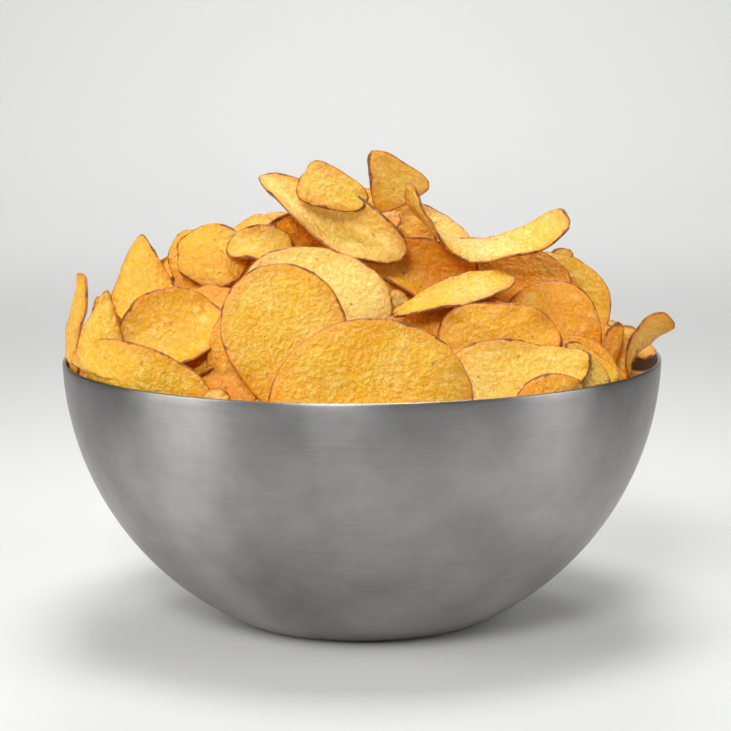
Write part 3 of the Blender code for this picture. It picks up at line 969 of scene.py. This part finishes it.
@dataclass
class Core:
    """The core of the heap: a lumpy cone over the crisps that can't be seen; its dark orange is
    painted shade.
    """

    top: float = 48.0
    top_back: float = 8.0
    widening: float = 0.64
    slope: float = 0.70
    shoulder: float = -8.0
    tip_rounding: float = 12.0
    foot_rounding: float = 4.0
    edge: float = 90.0
    right_drop: float = 28.0
    right_turn: float = 0.25
    right_width: float = 0.32
    lump: float = 1.5
    lump_spacing: float = 12.0
    lumps_from: float = 40.0
    ruffle: float = 0.8
    ruffle_spacing: float = 3.1
    gap: float = 1.0
    sunk: float = 2.5
    # Dark orange: painted shade for the gaps between the crisps, where the core shows.
    tone: float = -0.9
    from_edge: float = 9.0
    round_steps: int = 120
    out_steps: int = 50
    under_steps: int = 24

    def height(self, radius: np.ndarray, angle: np.ndarray) -> np.ndarray:
        """Height of the core's top over the rim: a cone, rounded at its tip and foot.

        It is lower at the right by a bell round the hollow's direction, which grows with the
        square of the way out. Low lumps are a sine round the core times a sine outward.

        Args:
            radius: distance from the bowl's axis in millimetres.
            angle: direction from the axis in radians, from the right towards the back.

        Returns:
            The height in millimetres.
        """
        sideways = self.widening * radius * np.cos(angle)
        backward = radius * np.sin(angle) - self.top_back
        out = np.hypot(np.hypot(sideways, backward), self.tip_rounding)
        rise = self.top - self.shoulder - self.slope * out
        cone = np.logaddexp(0, rise / self.foot_rounding) * self.foot_rounding
        right = np.exp(-((angle - self.right_turn) / self.right_width) ** 2)
        right = right * np.clip(radius / self.edge, 0, 1) ** 2
        lumps = self.lump * np.sin(3 * angle + 1.0) * np.sin(radius / self.lump_spacing)
        lumps = lumps * np.clip(radius / self.lumps_from, 0, 1)
        return self.shoulder + cone - self.right_drop * right + lumps

    def solid(self) -> Solid:
        """The core as arrays: its top from the middle outward, then its underside along the wall.

        The top is ruffled by a wave outward, shifted and scaled by waves round the core.

        Returns:
            The core.
        """
        limit = BOWL.radius - BOWL.wall - self.gap
        turn = np.linspace(-math.pi, math.pi, self.round_steps, endpoint=False)[None, :]
        edge_height = self.height(np.array(self.edge), turn) - self.sunk
        edge_radius = np.sqrt(limit ** 2 - (edge_height - BOWL.rim_below_middle) ** 2)
        share = np.linspace(0, 1, self.out_steps)[1:, None]
        top_radius = share * edge_radius
        top_height = self.height(np.minimum(top_radius, self.edge), turn) - self.sunk
        top_height[-1] = edge_height[0]
        ruffle = np.sin(top_radius / self.ruffle_spacing + 4 * np.sin(5 * turn)) * np.sin(9 * turn)
        top_height = top_height + self.ruffle * ruffle
        edge_bend = np.arccos((BOWL.rim_below_middle - edge_height) / limit)
        bend = (1 - np.linspace(0, 1, self.under_steps)[1:-1, None]) * edge_bend
        under_radius = limit * np.sin(bend)
        floor = BOWL.wall + self.gap - BOWL.rim_height
        under_height = np.maximum(BOWL.rim_below_middle - limit * np.cos(bend), floor)
        radius = np.concatenate([top_radius, under_radius])
        height = np.concatenate([top_height, under_height]) + BOWL.rim_height
        points = np.stack([radius * np.cos(turn), radius * np.sin(turn), height], axis=-1)
        points = points.reshape(-1, 3)
        top_middle = float(self.height(np.array(0.0), np.array(0.0))) - self.sunk + BOWL.rim_height
        poles = np.array([[0, 0, top_middle], [0, 0, floor + BOWL.rim_height]])
        count = len(points) + len(poles)
        values = {"edge_mm": np.full(count, self.from_edge), "tone": np.full(count, self.tone),
                  "raised_mm": np.zeros(count)}
        quads = turned_quads(len(radius), self.round_steps)
        return Solid(np.concatenate([points, poles]), quads, values)


@dataclass
class Heap:
    """The crisps: those that show, those between them, those at the back, and those on the core.

    Attributes:
        core: the core that they lie on.
        rings: the rings at the back.
        blister_range: least and most blistering of a seeded crisp.
        lying_rings: radius and count of each ring of crisps that lie flat on the core.
        lying_seed: seed of their draws.
        lying_length: their least and most length.
        lying_width: their least and most width.
        lying_curl: their least and most curl.
        lying_tone: their least and most tone.
        slope_reach: how far to either side the core's slope is taken.
        hollow_turn: direction of the hollow at the right, in degrees towards the back.
        hollow_half: half its width, in degrees.
        hollow_from: how far out it begins.
        hollow_share: size of the lying crisps in it, as a share of the others' size.
        hollow_sunk: how much lower they lie.
    """

    core: Core = field(default_factory=Core)
    rings: tuple[Ring, ...] = (
        Ring(radius=80.0, lift=9.0, tilt=44.0, length=56.0, width=46.0,
             count=5, first=42.0, last=143.0, seed=71),
        Ring(radius=60.0, lift=8.0, tilt=46.0, length=54.0, width=44.0,
             count=5, first=30.0, last=160.0, seed=72),
        Ring(radius=36.0, lift=4.0, tilt=50.0, length=50.0, width=42.0,
             count=3, first=35.0, last=145.0, seed=73),
    )
    blister_range: tuple[float, float] = (0.1, 0.8)
    lying_rings: tuple[tuple[float, int], ...] = (
        (86.0, 19), (76.0, 16), (62.0, 13), (45.0, 9), (28.0, 6), (12.0, 3))
    lying_seed: int = 80
    lying_length: tuple[float, float] = (36, 46)
    lying_width: tuple[float, float] = (30, 38)
    lying_curl: tuple[float, float] = (-30, -5)
    lying_tone: tuple[float, float] = (-0.7, 0.1)
    slope_reach: float = 2.0
    hollow_turn: float = 12.0
    hollow_half: float = 36.0
    hollow_from: float = 60.0
    hollow_share: float = 0.62
    hollow_sunk: float = 1.0

    def shown(self) -> list[Crisp]:
        """The crisps that the front of the heap shows, from the rim upward and left to right."""
        broad, curled, small = Kind.BROAD, Kind.CURLED, Kind.SMALL
        return [
            Crisp("front_oval", broad, (3, -79, -2), (62, 50), (0, 14), 0, curl=-16, wobble=0.03,
                  tone=0.0, seed=1),
            Crisp("front_egg", broad, (-22, -67, 13), (53, 37), (-5, 12), -68, curl=-10, taper=0.22,
                  wobble=0.03, tone=0.05, seed=2),
            Crisp("behind_egg", broad, (-33, -62, 5), (42, 30), (-15, 5), -72, curl=-20, tone=-0.3,
                  blister=0.7, seed=3),
            Crisp("rim_chip", small, (-45, -74, -2.5), (9, 7), (0, 25), 20, tone=0.5, seed=4),
            Crisp("left_wave", broad, (-72, -63, 0), (55, 28), (-30, 0), -10, curl=-50, tone=-0.05,
                  seed=5),
            Crisp("left_curl", curled, (-82, -54.5, 13.5), (31, 16), (-22, 4), 82, curl=-50,
                  bend_dir=90, taper=0.62, tone=0.1, seed=40),
            Crisp("left_curl_inside", small, (-79.5, -49, 15), (24, 12), (25, 10), 104, curl=30,
                  bend_dir=90, taper=0.5, tone=0.0, seed=41),
            Crisp("left_spike", curled, (-94, -22, 11), (40, 26), (-76, 12), 92, curl=20, tone=-0.1,
                  seed=6),
            Crisp("left_leaf", curled, (-71, -30, 25), (40, 24), (-18, 22), 99, curl=-60,
                  bend_dir=90, taper=0.65, tone=-0.1, seed=7),
            Crisp("left_dish", curled, (-60, -50, 14), (36, 31), (5, 40), 32, curl=90, bend_dir=90,
                  cup=30, tone=-0.2, blister=0.8, seed=8),
            Crisp("left_knob", curled, (-49, -14, 36), (24, 22), (-10, 30), -4, curl=-40,
                  square=2.4, wobble=0.12, tone=0.0, seed=9),
            Crisp("left_knob_fold", small, (-58, -9, 35), (18, 12), (-20, 20), 84, curl=-30,
                  tone=-0.1, seed=36),
            Crisp("left_sliver", small, (-59, -4, 24), (30, 18), (-20, 30), 110, tone=-0.3,
                  seed=10),
            Crisp("back_nub_a", small, (-39, 6, 36), (28, 18), (-15, 40), 70, tone=0.2, seed=11),
            Crisp("back_nub_b", small, (-31, 10, 39), (24, 22), (-10, 48), 35, tone=0.2, seed=12),
            Crisp("pale_curl", curled, (-33, -15, 38), (22, 17), (-5, 45), -5, curl=90, bend_dir=90,
                  tone=0.3, seed=13),
            # Its dark orange tone is partly its own colour and partly painted shade.
            Crisp("shaded_left", curled, (-16, -10, 37), (30, 20), (5, -8), -30, tone=-0.7,
                  seed=14),
            # Its pale tone is partly its own colour and partly a painted highlight, as it faces the
            # light.
            Crisp("broad_pale", broad, (-15, -46, 25), (50, 38), (5, 36), -8, curl=-24, wobble=0.03,
                  tone=0.8, seed=15),
            # Its pale tone is partly its own colour and partly a painted highlight, as it faces the
            # light.
            Crisp("long_leaf", curled, (-10, -20, 49), (57, 22), (-5, 32), -31, curl=20, fold=85,
                  fold_at=0.1, fold_width=0.25, bend_dir=90, taper=-0.6, tone=0.7, seed=16),
            Crisp("folded_top", curled, (-9, -26, 58), (23, 13), (-4, 16), -20, fold=-50,
                  fold_at=-0.72, fold_width=0.1, taper=0.3, square=3.4, tone=0.1, blister=0.8,
                  seed=17),
            Crisp("peak", curled, (10, -9, 57.7), (18, 18), (16, 5), 62, curl=-20, taper=-0.65,
                  square=3.0, tone=0.35, seed=18),
            Crisp("long_curl", curled, (38, -24, 38.5), (66, 18), (0, 76), -15, curl=136, wave=-50,
                  twist=85, square=2.6, tone=0.55, seed=19),
            Crisp("behind_curl", curled, (21, 0, 41), (32, 25), (10, 50), -42, tone=0.4, seed=20),
            # Its dark orange tone is partly its own colour and partly painted shade.
            Crisp("shaded_dish", curled, (21, -22, 33), (34, 17), (0, 0), -8, curl=30, bend_dir=90,
                  tone=-0.8, seed=21),
            Crisp("slanting", curled, (29, -44.5, 26), (44, 15), (0, 60), 28, curl=20, bend_dir=90,
                  taper=-0.4, tone=0.1, seed=22),
            # Its dark orange tone is partly its own colour and partly painted shade, under the
            # slanting crisp.
            Crisp("under_slanting", broad, (30, -42.2, 12.2), (38, 28), (5, -8), 20, tone=-0.8,
                  seed=23),
            Crisp("right_wave", broad, (43, -54, 12.7), (38, 24), (0, 8), -5, square=2.4,
                  wobble=0.12, ripple=2.0, tone=-0.3, seed=24),
            Crisp("right_trough", broad, (49, -67, 3), (46, 26), (5, 42), 14, curl=30, bend_dir=90,
                  taper=0.4, square=2.4, tone=0.3, seed=27),
            Crisp("round_back", broad, (64, -10, 18), (39, 39), (10, 30), 0, curl=-20, wobble=0.03,
                  tone=0.1, blister=0.4, seed=25),
            Crisp("round_front", broad, (61, -38, 14), (33, 34), (10, 32), -20, curl=-20,
                  wobble=0.03, tone=-0.4, blister=1.0, seed=26),
            Crisp("right_pale", small, (67, -61, 1), (20, 18), (15, 20), 0, curl=-20, tone=0.4,
                  seed=28),
            Crisp("right_strip", small, (73, -56, 5), (22, 9), (20, 35), -45, tone=0.0, seed=29),
            Crisp("right_low", small, (59, -76, -3), (25, 17), (15, 15), 0, curl=-10, tone=-0.4,
                  blister=1.0, seed=30),
            Crisp("right_spike", small, (79, -40, 6), (21, 10), (40, 0), 70, tone=-0.5, seed=31),
            Crisp("right_leaf", small, (84, -31, 4), (20, 8.5), (-10, 5), 78, taper=-0.5, tone=0.2,
                  seed=33),
            Crisp("right_twist", curled, (88, -32, 5.5), (33, 12), (60, -25), 81, curl=95,
                  twist=-90, taper=-0.5, tone=0.1, seed=32),
            Crisp("middle_chip", small, (11, -40, 23), (8, 8), (0, 10), 0, tone=0.5, seed=34),
            Crisp("back_chip", small, (67, 0, 34), (7, 4), (0, 10), 0, tone=0.3, seed=35),
        ]

    def inner(self) -> list[Crisp]:
        """The crisps that are glimpsed between the shown ones and carry them; their dark tones are
        painted shade.
        """
        inner = Kind.INNER
        # Their dark orange tones are painted shade for the gaps between the shown crisps.
        return [
            Crisp("inner_1", inner, (-51, -42, 10), (44, 40), (-10, 30), 20, tone=-0.6, seed=50),
            Crisp("inner_2", inner, (16, -26, 21), (46, 40), (5, 20), 10, tone=-0.7, seed=51),
            Crisp("inner_3", inner, (44, -20, 28.5), (50, 28), (5, 30), -10, tone=-0.5, seed=52),
            Crisp("inner_4", inner, (0, -4, 38), (50, 40), (0, 30), 10, tone=-0.4, seed=53),
            Crisp("inner_5", inner, (-70, -24, 4), (44, 38), (-25, 35), -30, tone=-0.5, seed=54),
            Crisp("inner_6", inner, (70, -30, 1), (38, 32), (20, 35), 30, tone=-0.5, seed=55),
            Crisp("inner_7", inner, (-37, -18, 25), (50, 40), (-10, 35), 10, tone=-0.5, seed=56),
            Crisp("inner_8", inner, (20, -51, 7), (46, 32), (5, 25), 10, tone=-0.6, seed=57),
            Crisp("inner_9", inner, (62, -60, -2), (44, 36), (15, 35), 30, tone=-0.5, seed=58),
            Crisp("inner_10", inner, (-50, -60, 0), (40, 36), (-15, 35), 30, tone=-0.6, seed=59),
            Crisp("inner_11", inner, (-7, -17, 48), (42, 18), (-5, 28), -30, tone=-0.3, seed=60),
            Crisp("inner_12", inner, (3, -11, 46.5), (20, 24), (0, 76), 0, tone=-0.3, seed=61),
        ]

    def at_the_back(self) -> list[Crisp]:
        """The crisps of the rings, each turned and sized a little differently.

        Returns:
            The crisps at the back.
        """
        crisps = []
        for number, ring in enumerate(self.rings):
            draw = np.random.default_rng(ring.seed)
            for index in range(ring.count):
                share = index / max(ring.count - 1, 1)
                angle = ring.first + (ring.last - ring.first) * share + draw.uniform(-4, 4)
                turn = math.radians(angle)
                radius = ring.radius + draw.uniform(-3, 3)
                height = float(self.core.height(radius, turn)) + ring.lift + draw.uniform(-2, 2)
                at = (radius * math.cos(turn), radius * math.sin(turn), height)
                size = (ring.length * draw.uniform(0.85, 1.1), ring.width * draw.uniform(0.85, 1.1))
                face = (angle + 90 + draw.uniform(-14, 14), ring.tilt + draw.uniform(-10, 10))
                curl, roll = draw.uniform(-75, 35), draw.uniform(-60, 60)
                tones = np.random.default_rng(ring.seed + 50 + index)
                tone, blister = tones.uniform(-0.6, 0.35), tones.uniform(*self.blister_range)
                crisps.append(Crisp(f"ring_{number}_{index}", Kind.BACK, at, size, face, roll=roll,
                                    curl=curl, tone=tone, blister=blister,
                                    seed=200 + 20 * number + index))
        return crisps

    def in_hollow(self, angle: float, radius: float) -> bool:
        """Whether a place is in the hollow at the right, where the crisps lie lower and smaller."""
        away = (angle - self.hollow_turn + 180) % 360 - 180
        return abs(away) < self.hollow_half and radius > self.hollow_from

    def lying(self) -> list[Crisp]:
        """The crisps that lie flat on the core all round, so that no side shows it bare.

        Each lies at its ring's radius, square to the core's slope there, with a small seeded lean.

        Returns:
            The lying crisps.
        """
        crisps = []
        draw = np.random.default_rng(self.lying_seed)
        for radius, count in self.lying_rings:
            for index in range(count):
                angle = 360 * (index + draw.uniform(-0.2, 0.2)) / count + radius
                turn, reach = math.radians(angle), radius + draw.uniform(-3, 3)
                height = float(self.core.height(reach, turn))
                above, below = (float(self.core.height(reach + step, turn))
                                for step in (-self.slope_reach, self.slope_reach))
                lean = math.degrees(math.atan((above - below) / (2 * self.slope_reach)))
                size = (draw.uniform(*self.lying_length), draw.uniform(*self.lying_width))
                face = (angle + 90 + draw.uniform(-10, 10), 90 - lean + draw.uniform(-6, 6))
                roll, curl = draw.uniform(-90, 90), draw.uniform(*self.lying_curl)
                at = (reach * math.cos(turn), reach * math.sin(turn),
                      height + draw.uniform(-0.8, 0.8))
                tone, blister = draw.uniform(*self.lying_tone), draw.uniform(*self.blister_range)
                if self.in_hollow(angle, radius):
                    at = (at[0], at[1], height - self.hollow_sunk)
                    size = (size[0] * self.hollow_share, size[1] * self.hollow_share)
                number = len(crisps)
                crisps.append(Crisp(f"lying_{number}", Kind.LYING, at, size, face, roll=roll,
                                    curl=curl, tone=tone, blister=blister, seed=400 + number))
        return crisps

    def build(self, finish: FriedPotato) -> list[bpy.types.Object]:
        """Build the crisps of each kind as one piece, and the core, all in one finish.

        Args:
            finish: the fried slices' finish.

        Returns:
            The pieces, the core last.
        """
        material = finish.material()
        crisps = self.shown() + self.inner() + self.at_the_back() + self.lying()
        pieces = []
        for kind in Kind:
            chosen = [crisp for crisp in crisps if crisp.kind is kind]
            log.info("%s: %s", kind.value, ", ".join(crisp.name for crisp in chosen))
            whole = joined([crisp.solid() for crisp in chosen])
            pieces.append(mesh_object(kind.value, whole.points, whole.quads, whole.values))
        core = self.core.solid()
        pieces.append(mesh_object("heap_core", core.points, core.quads, core.values))
        for piece in pieces:
            piece.data.materials.append(material)
        return pieces


@dataclass(frozen=True)
class Softbox:
    """A softbox with a grid on its front, which narrows its spread.

    Attributes:
        name: its name.
        at: its place, in metres.
        aim: the point that it faces, in metres.
        size: its width and height, in metres.
        power: its power in watts.
        spread: how wide its light spreads, in degrees.
    """

    name: str
    at: tuple[float, float, float]
    aim: tuple[float, float, float]
    size: tuple[float, float]
    power: float
    spread: float

    def build(self) -> bpy.types.Object:
        """The softbox as a rectangular area light that faces its aim.

        Returns:
            The light.
        """
        data = bpy.data.lights.new(self.name, "AREA")
        data.shape = "RECTANGLE"
        data.size, data.size_y = self.size
        data.energy = self.power
        data.spread = math.radians(self.spread)
        light = bpy.data.objects.new(self.name, data)
        direction = Vector(self.aim) - Vector(self.at)
        turned = direction.to_track_quat("-Z", "Y").to_matrix().to_4x4()
        light.matrix_world = Matrix.Translation(self.at) @ turned
        bpy.context.scene.collection.objects.link(light)
        return light


@dataclass
class Studio:
    """The floor with its backdrop, the lights, and the camera at the photographer's place."""

    camera_distance: float = 800.0
    camera_elevation: float = 8.5
    camera_roll: float = 0.3
    focal_pixels: float = 2379.0
    rim_pixel: tuple[float, float] = (362.0, 356.0)
    floor_half: float = 2500.0
    backdrop_at: float = 1600.0
    backdrop_radius: float = 900.0
    world_colour: str = "#FFFFFF"
    world_strength: float = 0.11
    backdrop_steps: int = 24
    backdrop_height: float = 3000.0
    softboxes: tuple[Softbox, ...] = (
        Softbox("overhead_softbox", (0.0, 0.10, 1.1), (0.0, 0.0, 0.1), (0.45, 0.45), 1.07, 70.0),
        Softbox("key_softbox", (-0.25, -1.05, 0.85), (0.0, 0.0, 0.12), (0.45, 0.45), 1.16, 60.0),
        Softbox("left_softbox", (-1.0, -0.35, 0.45), (0.0, 0.0, 0.05), (0.6, 0.9), 3.6, 120.0),
        Softbox("right_softbox", (1.0, -0.25, 0.45), (0.0, 0.0, 0.05), (0.5, 0.9), 1.9, 120.0),
        Softbox("back_softbox", (0.0, 0.95, 1.00), (0.0, 0.0, 0.1), (0.5, 0.5), 0.5, 60.0),
        Softbox("backdrop_softbox", (0.0, 0.8, 1.9), (0.0, 1.9, 0.2), (1.2, 0.5), 17.0, 110.0),
    )

    def build_floor(self, finish: PaintedFloor) -> bpy.types.Object:
        """A floor that turns up into a backdrop: a flat run, a quarter circle and a wall.

        Args:
            finish: the floor's paint.

        Returns:
            The floor.
        """
        flat = np.array([[-self.floor_half, 0.0], [self.backdrop_at, 0.0]])
        turn = np.linspace(0, math.pi / 2, self.backdrop_steps)
        round_part = np.stack([self.backdrop_at + self.backdrop_radius * np.sin(turn),
                               self.backdrop_radius * (1 - np.cos(turn))], axis=1)
        wall = np.array([[self.backdrop_at + self.backdrop_radius, self.backdrop_height]])
        profile = np.concatenate([flat[:1], round_part, wall])
        count = len(profile)
        points = np.concatenate([np.column_stack([np.full(count, side), profile])
                                 for side in (-self.floor_half, self.floor_half)])
        numbers = np.arange(count - 1)
        quads = np.stack([numbers, numbers + count, numbers + count + 1, numbers + 1], axis=1)
        floor = mesh_object("studio_floor", points, quads)
        floor.data.materials.append(finish.material())
        return floor

    def build_world(self) -> None:
        """An even white surround."""
        world = bpy.data.worlds.new("studio_surround")
        world.use_nodes = True
        background = world.node_tree.nodes["Background"]
        background.inputs["Color"].default_value = linear(self.world_colour)
        background.inputs["Strength"].default_value = self.world_strength
        bpy.context.scene.world = world
        bpy.context.scene.view_settings.view_transform = "Standard"

    def build_camera(self) -> bpy.types.Object:
        """The camera: a long lens a little above the rim, which sees the rim at its pixel.

        Returns:
            The camera.
        """
        tilt = math.radians(self.camera_elevation)
        forward = Vector((0, math.cos(tilt), -math.sin(tilt)))
        rim = Vector((0, 0, BOWL.rim_height * MM))
        place = rim - forward * self.camera_distance * MM
        middle = IMAGE_SIDE / 2
        right, up = Vector((1, 0, 0)), Vector((0, math.sin(tilt), math.cos(tilt)))
        aim = forward + right * (middle - self.rim_pixel[0]) / self.focal_pixels
        aim = aim + up * (self.rim_pixel[1] - middle) / self.focal_pixels
        back = -aim.normalized()
        right = Vector((0, 0, 1)).cross(back).normalized()
        up = back.cross(right)
        roll = math.radians(self.camera_roll)
        rolled_right = right * math.cos(roll) - up * math.sin(roll)
        rolled_up = up * math.cos(roll) + right * math.sin(roll)
        data = bpy.data.cameras.new("camera")
        data.sensor_width = SENSOR_MM
        data.lens = self.focal_pixels / IMAGE_SIDE * SENSOR_MM
        camera = bpy.data.objects.new("camera", data)
        turned = Matrix((rolled_right, rolled_up, back)).transposed().to_4x4()
        camera.matrix_world = Matrix.Translation(place) @ turned
        bpy.context.scene.collection.objects.link(camera)
        bpy.context.scene.camera = camera
        return camera


def report(obj: bpy.types.Object) -> None:
    """Log a piece's name and how many triangles it holds."""
    triangles = sum(len(polygon.vertices) - 2 for polygon in obj.data.polygons)
    log.info("%s: %d triangles", obj.name, triangles)


def main() -> None:
    """Build what stands for the solids and set up the studio."""
    bowl = Bowl().build(SpunSteel())
    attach(bowl, "root")
    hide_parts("bowl")
    report(bowl)

    for piece in Heap().build(FriedPotato()):
        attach(piece, "root")
        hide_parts("crisps")
        report(piece)

    studio = Studio()
    floor = studio.build_floor(PaintedFloor())
    studio.build_world()
    for softbox in studio.softboxes:
        softbox.build()
    studio.build_camera()


if __name__ == "__main__":
    main()
